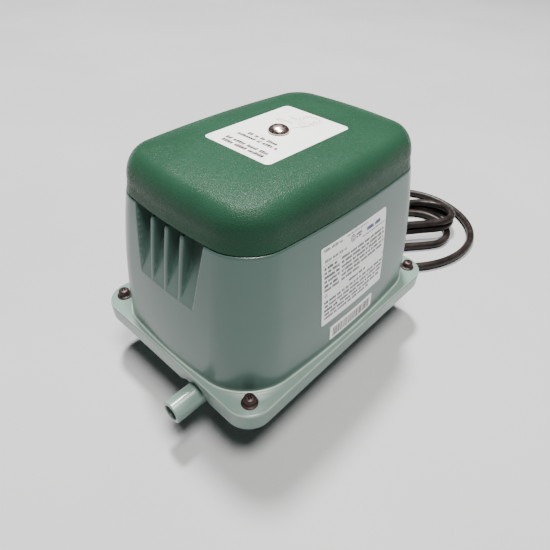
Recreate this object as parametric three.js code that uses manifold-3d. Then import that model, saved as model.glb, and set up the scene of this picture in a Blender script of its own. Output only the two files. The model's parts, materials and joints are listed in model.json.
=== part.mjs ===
// Linear diaphragm air pump for ponds and aquariums: every separate piece is one named mesh.
// Millimetres, +Z up, origin at the middle of the footprint on the standing surface.
// +X runs along the length towards the cord; the outlet and one set of intake fins are at -X.

import * as THREE from 'three';
import { mergeVertices } from 'three/addons/utils/BufferGeometryUtils.js';
import Module from 'manifold-3d';

const wasm = await Module();
wasm.setup();

// ---------------------------------------------------------------- driving dimensions
const LENGTH = 234;            // over the base flange
const WIDTH = 176.8;
const GAP = 0.3;               // clearance between pieces that touch
const WALL = 3.5;              // die-cast wall

const Z_TANK = 16;             // underside of the lower tank
const Z_SKIRT = 42;            // lower edge of the flange skirt
const Z_RIM = 51;              // top of the tank rim, under the gasket
const Z_PLATE = 53;            // underside of the flange plate
const Z_FLANGE = 57;           // top of the flange
const Z_DECK = 163.5;          // top of the housing, under the cover
const Z_PLATEAU = 192.5;       // flat middle of the cover, under its label
const Z_AXIS = 110;            // height of the drive rod

const FLANGE = { a: LENGTH / 2, b: WIDTH / 2, r: 19.8, bow: -0.5 };
const BODY_BASE = { a: 106.5, b: 76.7, r: 33.9, bow: 6.9 };
const BODY_TOP = { a: 94.4, b: 65.7, r: 25.4, bow: 5.3 };
const BODY_BULGE = 1.8;
const COVER = { a: 94, b: 65.3, r: 25.1, bow: 5.3 };
const COVER_LEAN = 1.4;        // how far its side wall leans in
const COVER_FILLET = 14;       // and its rounded shoulder after that

const SCREW_X = 102.7;
const SCREW_Y = 75.1;
const FOOT_X = 66;
const FOOT_Y = 40;
const MOUNT_X = 36;
const MOUNT_Y = 42;

const VENT_HALF = 34.2;        // half width of the intake recess under the cover
const VENT_TAPER = 5.6;        // how much narrower each half is at its foot
const VENT_LOW = 115;          // where the recess starts, with no depth
const VENT_DEPTH = 13;         // its depth under the cover
const FIN_PITCH = 14.75;
const FIN_THICK = 3.4;

const NOZZLE_Y = -31.4;
const NOZZLE_Z = 36.7;
const NOZZLE_R = 9;
const NOZZLE_BORE = 6.1;
const NOZZLE_END = -138.3;

const GLAND_Y = 30;
const GLAND_Z = 75;
const CORD_R = 4.25;
const CORD_STEPS = 300;
const PLUG_AT = { x: -15, y: 110, z: 13.5 };

const COVER_LIFT_SEAT = 0.3;   // the cover rests this far above the deck
const BOLT_R = 3;
const BOLT_HEAD_R = 7.7;

const PUMP = {
  platform: 69.9,              // underside of the magnet frame
  upright: 40,                 // inner face of each upright
  plate: 4,
  headHalf: 40,                // half size of the square pump heads
  wallIn: 62,                  // valve wall of a head
  wallOut: 65,
  coverIn: 70.3,
  coverOut: 80,
  port: 16,                    // valve ports above and below the rod
};

// ---------------------------------------------------------------- materials
const paint = (name, color, roughness, metalness = 0) => ({ name, color, roughness, metalness });
const FINISH = {
  housing: paint('housing_paint', 0x8ea39a, 0.42, 0.1),
  cover: paint('cover_green', 0x1f6b45, 0.45),
  steel: paint('bright_steel', 0xb9b4ab, 0.25, 1),
  darkScrew: paint('dark_screw', 0x2d1b17, 0.4, 0.6),
  label: paint('label_film', 0xe9ebec, 0.5),
  rubber: paint('black_rubber', 0x1b1b1c, 0.8),
  filter: paint('filter_foam', 0x4a4c4d, 0.95),
  iron: paint('laminated_iron', 0x54565a, 0.5, 0.8),
  copper: paint('winding_tape', 0x9a5a24, 0.5, 0.2),
  magnet: paint('magnet_ferrite', 0x303236, 0.6, 0.3),
  plastic: paint('black_plastic', 0x242527, 0.55),
  cord: paint('cord_jacket', 0x241d1b, 0.5),
  zinc: paint('zinc_plate', 0x9fa3a6, 0.4, 0.9),
};

const pump = new THREE.Group();

function add(name, geometry, finish) {
  const { name: label, ...values } = finish;
  const material = new THREE.MeshStandardMaterial(values);
  material.name = label;
  const mesh = new THREE.Mesh(geometry, material);
  mesh.name = name;
  pump.add(mesh);
}

// ---------------------------------------------------------------- geometry helpers
function signedVolume(position, index) {
  const [p, q, s] = [new THREE.Vector3(), new THREE.Vector3(), new THREE.Vector3()];
  let sum = 0;
  for (let i = 0; i < index.length; i += 3) {
    p.fromBufferAttribute(position, index[i]);
    q.fromBufferAttribute(position, index[i + 1]);
    s.fromBufferAttribute(position, index[i + 2]);
    sum += p.dot(q.cross(s));
  }
  return sum;
}

// A closed surface as a solid: shared vertices merged, collapsed triangles dropped, faces outward.
function solid(geometry) {
  geometry.deleteAttribute('normal');
  geometry.deleteAttribute('uv');
  const merged = mergeVertices(geometry, 1e-4);
  const all = merged.index.array;
  let kept = [];
  for (let i = 0; i < all.length; i += 3) {
    const [a, b, c] = [all[i], all[i + 1], all[i + 2]];
    if (a !== b && b !== c && a !== c) kept.push(a, b, c);
  }
  if (signedVolume(merged.attributes.position, kept) < 0) kept = kept.reverse();
  return new wasm.Manifold(new wasm.Mesh({
    numProp: 3,
    vertProperties: new Float32Array(merged.attributes.position.array),
    triVerts: new Uint32Array(kept),
  }));
}

function geometryOf(manifold) {
  const mesh = manifold.getMesh();
  const geometry = new THREE.BufferGeometry();
  geometry.setAttribute('position', new THREE.BufferAttribute(mesh.vertProperties, 3));
  geometry.setIndex(new THREE.BufferAttribute(mesh.triVerts, 1));
  geometry.computeVertexNormals();
  return geometry;
}

const finished = (geometry) => geometryOf(solid(geometry));

// A rounded rectangle whose sides swell outward by bow in their middle; inset pulls it in all round.
function outline({ a, b, r, bow }, inset = 0, arcSteps = 5, sideSteps = 4) {
  const [ha, hb] = [a - inset, b - inset];
  const hr = Math.max(r - inset, 3);
  const corners = [[1, 1, 0], [-1, 1, 1], [-1, -1, 2], [1, -1, 3]];
  const plain = [];
  for (const [sx, sy, quarter] of corners) {
    for (let i = 0; i <= arcSteps; i++) {
      const angle = (quarter + i / arcSteps) * Math.PI / 2;
      plain.push([sx * (ha - hr) + hr * Math.cos(angle), sy * (hb - hr) + hr * Math.sin(angle)]);
    }
    const [nx, ny] = corners[(quarter + 1) % 4];
    const next = quarter % 2 === 0 ? [nx * (ha - hr), ny * hb] : [nx * ha, ny * (hb - hr)];
    const last = plain[plain.length - 1];
    for (let i = 1; i < sideSteps; i++) {
      const t = i / sideSteps;
      plain.push([last[0] + (next[0] - last[0]) * t, last[1] + (next[1] - last[1]) * t]);
    }
  }
  return plain.map(([x, y]) => new THREE.Vector2(
    x + bow * (1 - (y / hb) ** 2) * x / ha,
    y + bow * (1 - (x / ha) ** 2) * y / hb,
  ));
}

// Rings of the same number of points, one above the other, closed at both ends by a fan.
function loft(rings) {
  const count = rings[0].points.length;
  const position = [];
  for (const { points, z } of rings) points.forEach((p) => position.push(p.x, p.y, z));
  const index = [];
  for (let k = 0; k + 1 < rings.length; k++) {
    for (let i = 0; i < count; i++) {
      const j = (i + 1) % count;
      const [a, b, c, d] = [k * count + i, k * count + j, (k + 1) * count + j, (k + 1) * count + i];
      index.push(a, b, c, a, c, d);
    }
  }
  const low = position.length / 3;
  position.push(0, 0, rings[0].z, 0, 0, rings[rings.length - 1].z);
  const top = (rings.length - 1) * count;
  for (let i = 0; i < count; i++) {
    const j = (i + 1) % count;
    index.push(low, j, i, low + 1, top + i, top + j);
  }
  const geometry = new THREE.BufferGeometry();
  geometry.setAttribute('position', new THREE.Float32BufferAttribute(position, 3));
  geometry.setIndex(index);
  return solid(geometry);
}

const block = (x0, x1, y0, y1, z0, z1) => solid(
  new THREE.BoxGeometry(x1 - x0, y1 - y0, z1 - z0)
    .translate((x0 + x1) / 2, (y0 + y1) / 2, (z0 + z1) / 2),
);

// A turned solid: profile is [radius, height] pairs; the axis is 'x' or 'z' through (x, y, z).
function turned(profile, axis, at, segments = 20) {
  const geometry = new THREE.LatheGeometry(profile.map(([r, h]) => new THREE.Vector2(r, h)), segments);
  if (axis === 'z') geometry.rotateX(Math.PI / 2);
  else geometry.rotateZ(-Math.PI / 2);
  return solid(geometry.translate(...at));
}

const disc = (r, h0, h1, axis, at, segments = 20) =>
  turned([[0, h0], [r, h0], [r, h1], [0, h1]], axis, at, segments);

const ring = (inner, outer, h0, h1, axis, at, segments = 20) =>
  turned([[inner, h0], [outer, h0], [outer, h1], [inner, h1], [inner, h0]], axis, at, segments);

// A flat plate of a rounded outline, with an optional list of round or outlined holes.
function plate(points, z0, z1, holes = []) {
  const shape = new THREE.Shape(points);
  holes.forEach((hole) => shape.holes.push(new THREE.Path(hole)));
  return solid(new THREE.ExtrudeGeometry(shape, { depth: z1 - z0, bevelEnabled: false })
    .translate(0, 0, z0));
}

const circle = (x, y, r, count = 16) => Array.from({ length: count }, (_, i) => {
  const angle = i / count * 2 * Math.PI;
  return new THREE.Vector2(x + r * Math.cos(angle), y + r * Math.sin(angle));
});

const joined = (parts) => parts.reduce((sum, part) => sum.add(part));
const without = (body, cuts) => cuts.reduce((left, cut) => left.subtract(cut), body);
const four = (x, y) => [[x, y], [-x, y], [-x, -y], [x, -y]];
const mix = (from, to, t) => from + (to - from) * t;

// ---------------------------------------------------------------- the housing's drafted wall
function bodyLevel(z) {
  const t = (z - Z_FLANGE) / (Z_DECK - Z_FLANGE);
  const bulge = BODY_BULGE * 4 * Math.max(t * (1 - t), 0);
  return {
    a: mix(BODY_BASE.a, BODY_TOP.a, t) + bulge,
    b: mix(BODY_BASE.b, BODY_TOP.b, t) + bulge,
    r: mix(BODY_BASE.r, BODY_TOP.r, t),
    bow: mix(BODY_BASE.bow, BODY_TOP.bow, t),
  };
}

function faceX(y, z) {
  const { a, b, bow } = bodyLevel(z);
  return a + bow * (1 - (y / b) ** 2);
}

function faceY(x, z) {
  const { a, b, bow } = bodyLevel(z);
  return b + bow * (1 - (x / a) ** 2);
}

function bodyLoft(levels) {
  return loft(levels.map(([z, inset]) => ({ z, points: outline(bodyLevel(z), inset) })));
}

// The recess floor leans in from the wall's face at VENT_LOW to VENT_DEPTH behind it at the deck.
function ventFloor(z) {
  const t = (z - VENT_LOW) / (Z_DECK - VENT_LOW);
  return mix(faceX(0, VENT_LOW), faceX(0, Z_DECK) - VENT_DEPTH, t);
}

// A prism across Y from a profile in X and Z, at the -X end (side -1) or the +X end (side 1).
function acrossY(profile, side, y0, y1) {
  const shape = new THREE.Shape(profile.map(([x, z]) => new THREE.Vector2(side * x, z)));
  return solid(new THREE.ExtrudeGeometry(shape, { depth: y1 - y0, bevelEnabled: false })
    .rotateX(Math.PI / 2).translate(0, y1, 0));
}

// A prism along X from a profile in Y and Z.
function alongX(profile, x0, x1) {
  const shape = new THREE.Shape(profile.map(([y, z]) => new THREE.Vector2(y, z)));
  const upright = new THREE.Matrix4().makeBasis(
    new THREE.Vector3(0, 1, 0), new THREE.Vector3(0, 0, 1), new THREE.Vector3(1, 0, 0),
  );
  return solid(new THREE.ExtrudeGeometry(shape, { depth: x1 - x0, bevelEnabled: false })
    .applyMatrix4(upright).translate(x0, 0, 0));
}

// The space of an intake recess, grown by back on its floor and its sides.
function ventWedge(side, back) {
  const reach = 150;
  const low = VENT_LOW - back * 2;
  const high = Z_DECK + 6;
  const half = (z) => VENT_HALF + back - VENT_TAPER * (Z_DECK - z) / (Z_DECK - VENT_LOW);
  const depth = acrossY(
    [[ventFloor(low) - back, low], [reach, low], [reach, high], [ventFloor(high) - back, high]],
    side, -half(high), half(high),
  );
  return depth.intersect(alongX(
    [[-half(low), low], [half(low), low], [half(high), high], [-half(high), high]], -reach, reach,
  ));
}

function fin(side, y) {
  const lift = 2.4;
  const heights = [VENT_LOW - 3, 128, 142, 154, Z_DECK - 2 * lift];
  const edge = heights.map((z) => [faceX(y, z) - 0.4, z]);
  const tip = faceX(y, Z_DECK) - 0.4;
  const crest = [[tip - 0.8, Z_DECK - lift], [tip - lift, Z_DECK - 1.4]];
  const root = [[ventFloor(Z_DECK - 1.4) - 2, Z_DECK - 1.4], [ventFloor(VENT_LOW - 3) - 2, VENT_LOW - 3]];
  return acrossY([...edge, ...crest, ...root], side, y - FIN_THICK / 2, y + FIN_THICK / 2);
}

function upperHousing() {
  const flange = loft([
    { z: Z_SKIRT, points: outline(FLANGE, 0.7) },
    { z: Z_SKIRT + 0.8, points: outline(FLANGE) },
    { z: Z_FLANGE - 2.4, points: outline(FLANGE) },
    { z: Z_FLANGE - 0.7, points: outline(FLANGE, 0.7) },
    { z: Z_FLANGE, points: outline(FLANGE, 2.4) },
  ]);
  const body = bodyLoft([
    [Z_FLANGE - 1, -2], [Z_FLANGE, -1.8], [Z_FLANGE + 1.8, 0], [80, 0], [104, 0], [128, 0],
    [148, 0], [Z_DECK - 3, 0], [Z_DECK - 0.9, 0.9], [Z_DECK, 3],
  ]);
  const hollow = bodyLoft([[Z_PLATE - 1, WALL], [80, WALL], [110, WALL], [Z_DECK - WALL, WALL]]);
  const skirtHollow = loft([
    { z: Z_SKIRT - 1, points: outline(FLANGE, WALL) },
    { z: Z_PLATE, points: outline(FLANGE, WALL) },
  ]);
  const ends = [-1, 1];
  const inside = without(hollow, ends.map((side) => ventWedge(side, WALL)));
  const arch = disc(12.8, -119.2, -114, 'x', [0, NOZZLE_Y, NOZZLE_Z])
    .intersect(block(-125, -100, -60, 0, Z_SKIRT, Z_FLANGE));
  const boss = disc(8, Z_DECK - 2, 171, 'z', [0, 0, 0]);
  const fins = ends.flatMap((side) => [-1, 0, 1].map((k) => fin(side, k * FIN_PITCH)));
  const shell = without(joined([flange, body]), ends.map((side) => ventWedge(side, 0)));
  const hollowed = without(shell, [inside, skirtHollow]);
  return without(joined([hollowed, arch, boss, ...fins]), [
    disc(BOLT_R + GAP, 150, 180, 'z', [0, 0, 0]),
    disc(NOZZLE_R + 0.4, -125, -105, 'x', [0, NOZZLE_Y, NOZZLE_Z]),
    disc(7.6, 100, 120, 'x', [0, GLAND_Y, GLAND_Z]),
    ...four(SCREW_X, SCREW_Y).map(([x, y]) => disc(2.8, 50, 60, 'z', [x, y, 0], 16)),
    ...[-1, 1].map((side) => block(side * 40 - 6, side * 40 + 6, -25, 25, 150, 170)),
  ]);
}

// ---------------------------------------------------------------- cover, filter, bolt, labels
function coverShell(skin) {
  const low = Z_DECK + COVER_LIFT_SEAT;
  const shoulder = low + 7;
  const sweep = 84 * Math.PI / 180;
  const rise = (Z_PLATEAU - 1.9 - shoulder) / Math.sin(sweep);
  const levels = [[low, 0], [shoulder, COVER_LEAN]];
  for (let i = 1; i <= 6; i++) {
    const angle = i / 6 * sweep;
    levels.push([shoulder + rise * Math.sin(angle), COVER_LEAN + COVER_FILLET * (1 - Math.cos(angle))]);
  }
  levels.push([Z_PLATEAU - 0.8, 22], [Z_PLATEAU, 33]);
  const last = levels.length - 1;
  return loft(levels.map(([z, inset], k) => ({
    z: z - (k === 0 ? skin * 0.5 : skin),
    points: outline(COVER, inset + (k === last ? 0 : skin)),
  })));
}

function filterCover() {
  const column = disc(8, 171.6, Z_PLATEAU - 2, 'z', [0, 0, 0]);
  const hollow = without(coverShell(3), [column]);
  return without(coverShell(0), [hollow, disc(BOLT_R + GAP, 160, 200, 'z', [0, 0, 0])]);
}

function coverBolt() {
  const seat = Z_PLATEAU + 1.1;
  const rim = Z_PLATEAU + 0.7;
  const profile = [
    [0, 156], [BOLT_R, 156], [BOLT_R, seat], [6.5, seat], [6.5, rim], [BOLT_HEAD_R, rim],
  ];
  for (let i = 0; i <= 5; i++) {
    const angle = i / 5 * Math.PI / 2;
    profile.push([BOLT_HEAD_R * Math.cos(angle), rim + 0.3 + 4.3 * Math.sin(angle)]);
  }
  return turned(profile, 'z', [0, 0, 0]);
}

function rounded(a, b, r) {
  return outline({ a, b, r, bow: 0 }, 0, 4, 1);
}

const rectangle = (a, b) => four(a, b).map(([x, y]) => new THREE.Vector2(x, y));

// A thin label lying on the long -Y wall, between two heights.
function wallLabel(half, z0, z1) {
  const [columns, rows] = [8, 4];
  const position = [];
  for (const lift of [0.45, 0.15]) {
    for (let j = 0; j <= rows; j++) {
      for (let i = 0; i <= columns; i++) {
        const [x, z] = [mix(-half, half, i / columns), mix(z0, z1, j / rows)];
        position.push(x, -faceY(x, z) - lift, z);
      }
    }
  }
  const across = columns + 1;
  const sheet = across * (rows + 1);
  const index = [];
  const quad = (a, b, c, d) => index.push(a, b, c, a, c, d);
  for (let j = 0; j < rows; j++) {
    for (let i = 0; i < columns; i++) {
      const k = j * across + i;
      quad(k, k + 1, k + across + 1, k + across);
      quad(sheet + k, sheet + k + across, sheet + k + across + 1, sheet + k + 1);
    }
  }
  const edge = [];
  for (let i = 0; i < columns; i++) edge.push(i);
  for (let j = 0; j < rows; j++) edge.push(j * across + columns);
  for (let i = columns; i > 0; i--) edge.push(rows * across + i);
  for (let j = rows; j > 0; j--) edge.push(j * across);
  edge.forEach((k, n) => {
    const next = edge[(n + 1) % edge.length];
    quad(k, k + sheet, next + sheet, next);
  });
  const geometry = new THREE.BufferGeometry();
  geometry.setAttribute('position', new THREE.Float32BufferAttribute(position, 3));
  geometry.setIndex(index);
  return finished(geometry);
}

// ---------------------------------------------------------------- base: tank, gasket, lid, feet
function tank() {
  const level = (z, a, b, r) => ({ z, points: outline({ a, b, r, bow: 0 }) });
  const tray = loft([level(Z_TANK, 86, 58, 20), level(Z_TANK + 4, 90, 62, 24), level(47.5, 96, 68, 24)]);
  const rim = loft([level(47, 112.4, 83.8, 15.4), level(Z_RIM, 112.4, 83.8, 15.4)]);
  const hollow = loft([level(19.5, 84, 56, 18), level(Z_RIM + 1, 93, 65, 21)]);
  const bosses = four(SCREW_X, SCREW_Y).map(([x, y]) => disc(5.5, 43, 48, 'z', [x, y, 0], 16));
  return without(joined([tray, rim, ...bosses]), [
    hollow,
    disc(NOZZLE_R + GAP, -99, -80, 'x', [0, NOZZLE_Y, NOZZLE_Z]),
    ...four(SCREW_X, SCREW_Y).map(([x, y]) => disc(2.8, 40, 60, 'z', [x, y, 0], 16)),
    ...four(FOOT_X, FOOT_Y).map(([x, y]) => disc(2.4, 10, 25, 'z', [x, y, 0], 12)),
  ]);
}

function nozzle() {
  const [r, bore] = [NOZZLE_R, NOZZLE_BORE];
  return turned([
    [bore, NOZZLE_END], [r - 0.7, NOZZLE_END], [r, NOZZLE_END + 0.9], [r, -100.3], [10, -100.3],
    [10, -96.6], [r, -96.6], [r, -86], [bore, -86], [bore, NOZZLE_END],
  ], 'x', [0, NOZZLE_Y, NOZZLE_Z]);
}

function gasket() {
  const outer = outline({ a: 112, b: 83.3, r: 15.2, bow: 0 }, 0, 5, 1);
  const inner = outline({ a: 104, b: 74.5, r: 24, bow: 0 }, 0, 5, 1);
  return plate(outer, Z_RIM + GAP, Z_PLATE - GAP, [
    inner, ...four(SCREW_X, SCREW_Y).map(([x, y]) => circle(x, y, 2.9, 12)),
  ]);
}

function chamberLid() {
  const holes = [-1, 1].map((side) => circle(side * 67.5, 0, 5));
  return plate(rounded(98.5, 68.5, 20), Z_RIM + GAP, Z_RIM + 3.3, holes);
}

const foot = (x, y) => turned([
  [5.6, 0], [12.2, 0], [13, 1], [12, Z_TANK - GAP - 1], [11, Z_TANK - GAP], [2.5, Z_TANK - GAP],
  [2.5, 6], [5.6, 6], [5.6, 0],
], 'z', [x, y, 0], 16);

const footScrew = (x, y) => turned([[0, 2.6], [4.6, 2.6], [4.9, 5.7], [2, 5.7], [2, 24], [0, 24]],
  'z', [x, y, 0], 10);

function housingScrew(x, y) {
  const seat = Z_FLANGE + GAP;
  return turned([
    [0, 44], [2.4, 44], [2.4, seat], [6, seat], [6, seat + 1], [4.5, seat + 1.7],
    [4.4, seat + 4.9], [3.4, seat + 6], [0, seat + 6.2],
  ], 'z', [x, y, 0], 14);
}

// ---------------------------------------------------------------- the pump unit
const LID_TOP = Z_RIM + 3.3;

const vibrationMount = (x, y) => turned([
  [0, LID_TOP + GAP], [9, LID_TOP + GAP], [9, LID_TOP + 3], [6.5, LID_TOP + 6], [6.5, PUMP.platform - 5],
  [9, PUMP.platform - 3], [9, PUMP.platform - GAP], [0, PUMP.platform - GAP],
], 'z', [x, y, 0], 14);

function magnetFrame() {
  const floorTop = PUMP.platform + PUMP.plate;
  const base = block(-44, 44, -50, 50, PUMP.platform, floorTop);
  const outer = PUMP.upright + PUMP.plate;
  const uprights = [-1, 1].map((side) => block(
    Math.min(side * PUMP.upright, side * outer), Math.max(side * PUMP.upright, side * outer),
    -PUMP.headHalf, PUMP.headHalf, floorTop - 1, Z_AXIS + PUMP.headHalf,
  ));
  const rails = [-1, 1].map((side) => block(
    -31, 31, Math.min(side * 30, side * 38), Math.max(side * 30, side * 38), floorTop - 1, Z_AXIS - 14.3,
  ));
  return without(joined([base, ...uprights, ...rails]), [disc(26, -60, 60, 'x', [0, 0, Z_AXIS])]);
}

// Three-legged core: its back is away from the rod and its legs point at the magnets.
function core(side) {
  const legs = [[-32, 12], [-24, 12], [-24, 29], [-6, 29], [-6, 12], [6, 12], [6, 29], [24, 29],
    [24, 12], [32, 12], [32, 38], [-32, 38]];
  const points = legs.map(([x, y]) => new THREE.Vector2(x, side * y));
  return plate(points, Z_AXIS - 14, Z_AXIS + 14);
}

function coil(side) {
  const depth = [13, 28.5].map((y) => side * y);
  const [y0, y1] = [Math.min(...depth), Math.max(...depth)];
  const shape = new THREE.Shape(rounded(23, 28, 6));
  shape.holes.push(new THREE.Path(rectangle(6.4, 14.4)));
  return solid(new THREE.ExtrudeGeometry(shape, { depth: y1 - y0, bevelEnabled: false })
    .rotateX(Math.PI / 2).translate(0, y1, Z_AXIS));
}

const driveRod = () => turned([
  [0, -58], [4, -58], [4, -45.9], [8, -45.9], [8, -43], [4, -43], [4, 43], [8, 43], [8, 45.9],
  [4, 45.9], [4, 58], [0, 58],
], 'x', [0, 0, Z_AXIS], 16);

const rodMagnet = (side) => without(
  block(side * 15 - 8, side * 15 + 8, -8.6, 8.6, Z_AXIS - 13, Z_AXIS + 13),
  [disc(4 + GAP, -40, 40, 'x', [0, 0, Z_AXIS], 16)],
);

// Profiles of the pieces on the rod, for the +X end; the -X end mirrors them.
const mirrored = (profile, side) => profile.map(([r, x]) => [r, side * x]);

const diaphragm = (side) => turned(mirrored([
  [38, 44.3], [38, 46.9], [31, 46.9], [25, 50.6], [18, 48.7], [4.4, 48.7], [4.4, 46.2], [18, 46.2],
  [25, 48], [31, 44.3], [38, 44.3],
], side), 'x', [0, 0, Z_AXIS]);

const clampDisc = (side) => turned(mirrored([
  [4.3, 49], [15, 49], [16, 50], [14.5, 51.3], [4.3, 51.3], [4.3, 49],
], side), 'x', [0, 0, Z_AXIS]);

const rodNut = (side) => turned(mirrored([
  [4.3, 51.6], [7.2, 51.6], [7.2, 55.8], [4.3, 55.8], [4.3, 51.6],
], side), 'x', [0, 0, Z_AXIS], 6 * 2);

const span = (side, from, to) => [Math.min(side * from, side * to), Math.max(side * from, side * to)];

function headCasing(side) {
  const half = PUMP.headHalf;
  const [x0, x1] = span(side, 47.2, 70);
  const box = block(x0, x1, -half, half, Z_AXIS - half, Z_AXIS + half);
  const [c0, c1] = span(side, 46, PUMP.wallIn);
  const [v0, v1] = span(side, PUMP.wallOut, 71);
  const [w0, w1] = span(side, 60, 72);
  const port = PUMP.port;
  return without(box, [
    disc(31, c0, c1, 'x', [0, 0, Z_AXIS]),
    block(v0, v1, -24, 24, Z_AXIS + 4, Z_AXIS + 32),
    block(v0, v1, -24, 24, Z_AXIS - 32, Z_AXIS - 4),
    disc(6, w0, w1, 'x', [0, 0, Z_AXIS + port], 16),
    disc(6, w0, w1, 'x', [0, 0, Z_AXIS - port], 16),
    disc(2.2, Z_AXIS + 30, Z_AXIS + 45, 'z', [side * 67.5, 0, 0], 12),
    disc(2.2, Z_AXIS - 45, Z_AXIS - 30, 'z', [side * 67.5, 0, 0], 12),
  ]);
}

function headCover(side) {
  const [x0, x1] = span(side, PUMP.coverIn, PUMP.coverOut);
  const [r0, r1] = span(side, PUMP.coverIn + 4, PUMP.coverOut + 1);
  const grooves = [-16, 0, 16].map((y) =>
    block(r0, r1, y - 5.5, y + 5.5, Z_AXIS - 34, Z_AXIS + 34));
  const body = block(x0, x1, -38, 38, Z_AXIS - 38, Z_AXIS + 38);
  return without(body, grooves);
}

// A reed over a valve port: a round pad with a tab where it is held.
function flap(side, port, x) {
  const [x0, x1] = span(side, x, x + 0.9);
  const pad = disc(8, x0, x1, 'x', [0, 0, Z_AXIS + port], 18);
  const tab = block(x0, x1, -4, 4, Z_AXIS + port, Z_AXIS + port + 10.5);
  return pad.add(tab);
}

const outletHose = (side) => ring(5, 8, LID_TOP + GAP, Z_AXIS - PUMP.headHalf - GAP, 'z',
  [side * 67.5, 0, 0], 20);

function terminalBlock() {
  const body = block(-22, 22, 53, 66, LID_TOP + GAP, LID_TOP + 16);
  const wells = [-15, -5, 5, 15].map((x) => disc(3, LID_TOP + 10, LID_TOP + 20, 'z', [x, 59.5, 0], 12));
  return without(body, wells);
}

function protectorSwitch() {
  const body = block(32, 62, 54, 66, LID_TOP + GAP, LID_TOP + 22);
  return body.add(block(42, 52, 57, 63, LID_TOP + 20, LID_TOP + 27));
}

// ---------------------------------------------------------------- cord, gland and plug
const GLAND_END = -NOZZLE_END;
const glandSeat = faceX(GLAND_Y - 11, GLAND_Z - 11) + GAP + 0.3;

const gland = () => turned([
  [CORD_R + 0.5, 104], [7, 104], [7, glandSeat], [11, glandSeat], [11, glandSeat + 3],
  [8.2, glandSeat + 4.5], [7.6, glandSeat + 9], [6, GLAND_END], [CORD_R + 0.5, GLAND_END],
  [CORD_R + 0.5, 104],
], 'x', [0, GLAND_Y, GLAND_Z], 20);

const point = (p) => new THREE.Vector3(...p);

// The cord's centre line, from the gland through its loose loops to the plug.
const ROUTE = [
  // Out of the gland and down to the surface.
  [116, 30, 75], [140, 30, 75], [162, 31.5, 72.5], [186, 37, 63.5], [210, 45.5, 50],
  [234, 54.5, 34.5], [259, 61, 19], [284, 61, 8], [306, 49, 4.6], [321, 28, 4.6],
  // The outer loop.
  [327, 3, 4.6], [323.5, -22, 4.6], [313, -45, 4.6], [296, -64, 4.6], [273, -77, 4.6],
  [247, -81.5, 4.6], [221, -79, 4.6], [196, -70, 4.6], [173, -54.5, 4.6], [155, -33, 4.6],
  [145.5, -8, 4.6], [146, 17, 4.6], [158, 38, 4.6], [178, 47, 4.6], [200, 44, 4.6], [221, 37, 4.6],
  // The inner loop, lying on the surface.
  [245, 26, 4.6], [272, 6.5, 4.6], [281.5, -9.5, 4.6], [281.5, -28.5, 4.6], [272, -44.5, 4.6],
  [256, -53.5, 4.6], [237, -53.5, 4.6], [221, -44.5, 4.6], [206, -33, 4.6],
  // Over its start, into the first turn of the bundle.
  [179.5, -12, 4.6], [169, 3.5, 4.8], [166.5, 22, 8], [172.5, 40, 13], [186.5, 53, 13],
  [204.5, 58.5, 7.5], [223, 55, 4.6], [248.5, 37, 4.6], [268, 22.5, 4.6], [291, 3.5, 4.6],
  [297.5, -11.5, 5.2], [295.5, -27.5, 8], [286, -40.5, 11.6], [271, -47, 13.7], [254.5, -45, 13.8],
  [233, -30, 13.4], [214, -15.5, 13], [193, 0.5, 13], [185, 13.5, 13.2], [184.5, 28.5, 13.4],
  [191, 42.5, 13.6], [203, 51.5, 13.8], [218, 54, 14], [232.5, 49, 13.8],
  // The second turn, on top of the first.
  [249.5, 35, 13.4], [268.5, 20, 13.4], [290.5, 3, 13.5], [297, -12, 14.2], [295, -28, 17.1],
  [285, -40.5, 20.7], [270.5, -47, 22.8], [254.5, -45, 22.8], [233, -30, 22.4], [214, -15.5, 22.2],
  // Over the loops and away behind the pump to the plug.
  [196, -1.5, 22.2], [178, 13, 22], [163, 26, 19.5], [148.5, 42.5, 14.5], [138, 61, 8.5],
  [129, 81, 5], [115, 98, 4.6], [94, 108, 4.6], [70, 111, 4.6], [45, 110.5, 5], [24, 110, 10],
  [9, 110, 13.2], [-2, 110, 13.5],
].map(point);

function cord() {
  const curve = new THREE.CatmullRomCurve3(ROUTE, false, 'centripetal');
  const section = new THREE.Shape(circle(0, 0, CORD_R, 8));
  return new THREE.ExtrudeGeometry(section, { extrudePath: curve, steps: CORD_STEPS });
}

// A grounded plug lying on its side, its blades pointing along -X.
function plug() {
  const { x, y, z } = PLUG_AT;
  const body = turned([
    [0, -26], [11.5, -26], [13.2, -23], [13.2, -8], [10.5, 4], [7, 11.8], [0, 12],
  ], 'x', [x, y, z], 20);
  const blades = [-1, 1].map((side) => block(
    x - 43, x - 20, y + side * 6.35 - 0.8, y + side * 6.35 + 0.8, z - 3.2 + 3, z + 3.2 + 3,
  ));
  const ground = disc(2.4, -46, -20, 'x', [x, y, z - 7], 12);
  return joined([body, ...blades, ground]);
}

// ---------------------------------------------------------------- assembly
add('upper_housing', geometryOf(upperHousing()), FINISH.housing);
add('filter_cover', geometryOf(filterCover()), FINISH.cover);
add('cover_bolt', geometryOf(coverBolt()), FINISH.steel);
add('cover_washer', geometryOf(
  ring(BOLT_R + GAP, 6, Z_PLATEAU + GAP / 2, Z_PLATEAU + 0.9, 'z', [0, 0, 0])), FINISH.rubber);
add('cover_label', geometryOf(plate(rounded(42.3, 30.1, 4), Z_PLATEAU + GAP / 2, Z_PLATEAU + 0.5,
  [circle(0, 0, 6.4, 20)])), FINISH.label);
add('air_filter', geometryOf(plate(rounded(70, 48, 12), Z_DECK + GAP, Z_DECK + 18,
  [circle(0, 0, 9.5, 20)])), FINISH.filter);
add('rating_label', wallLabel(37.5, 85.6, 149.5), FINISH.label);
add('code_label', wallLabel(26.9, 64.9, 78), FINISH.label);

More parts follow.
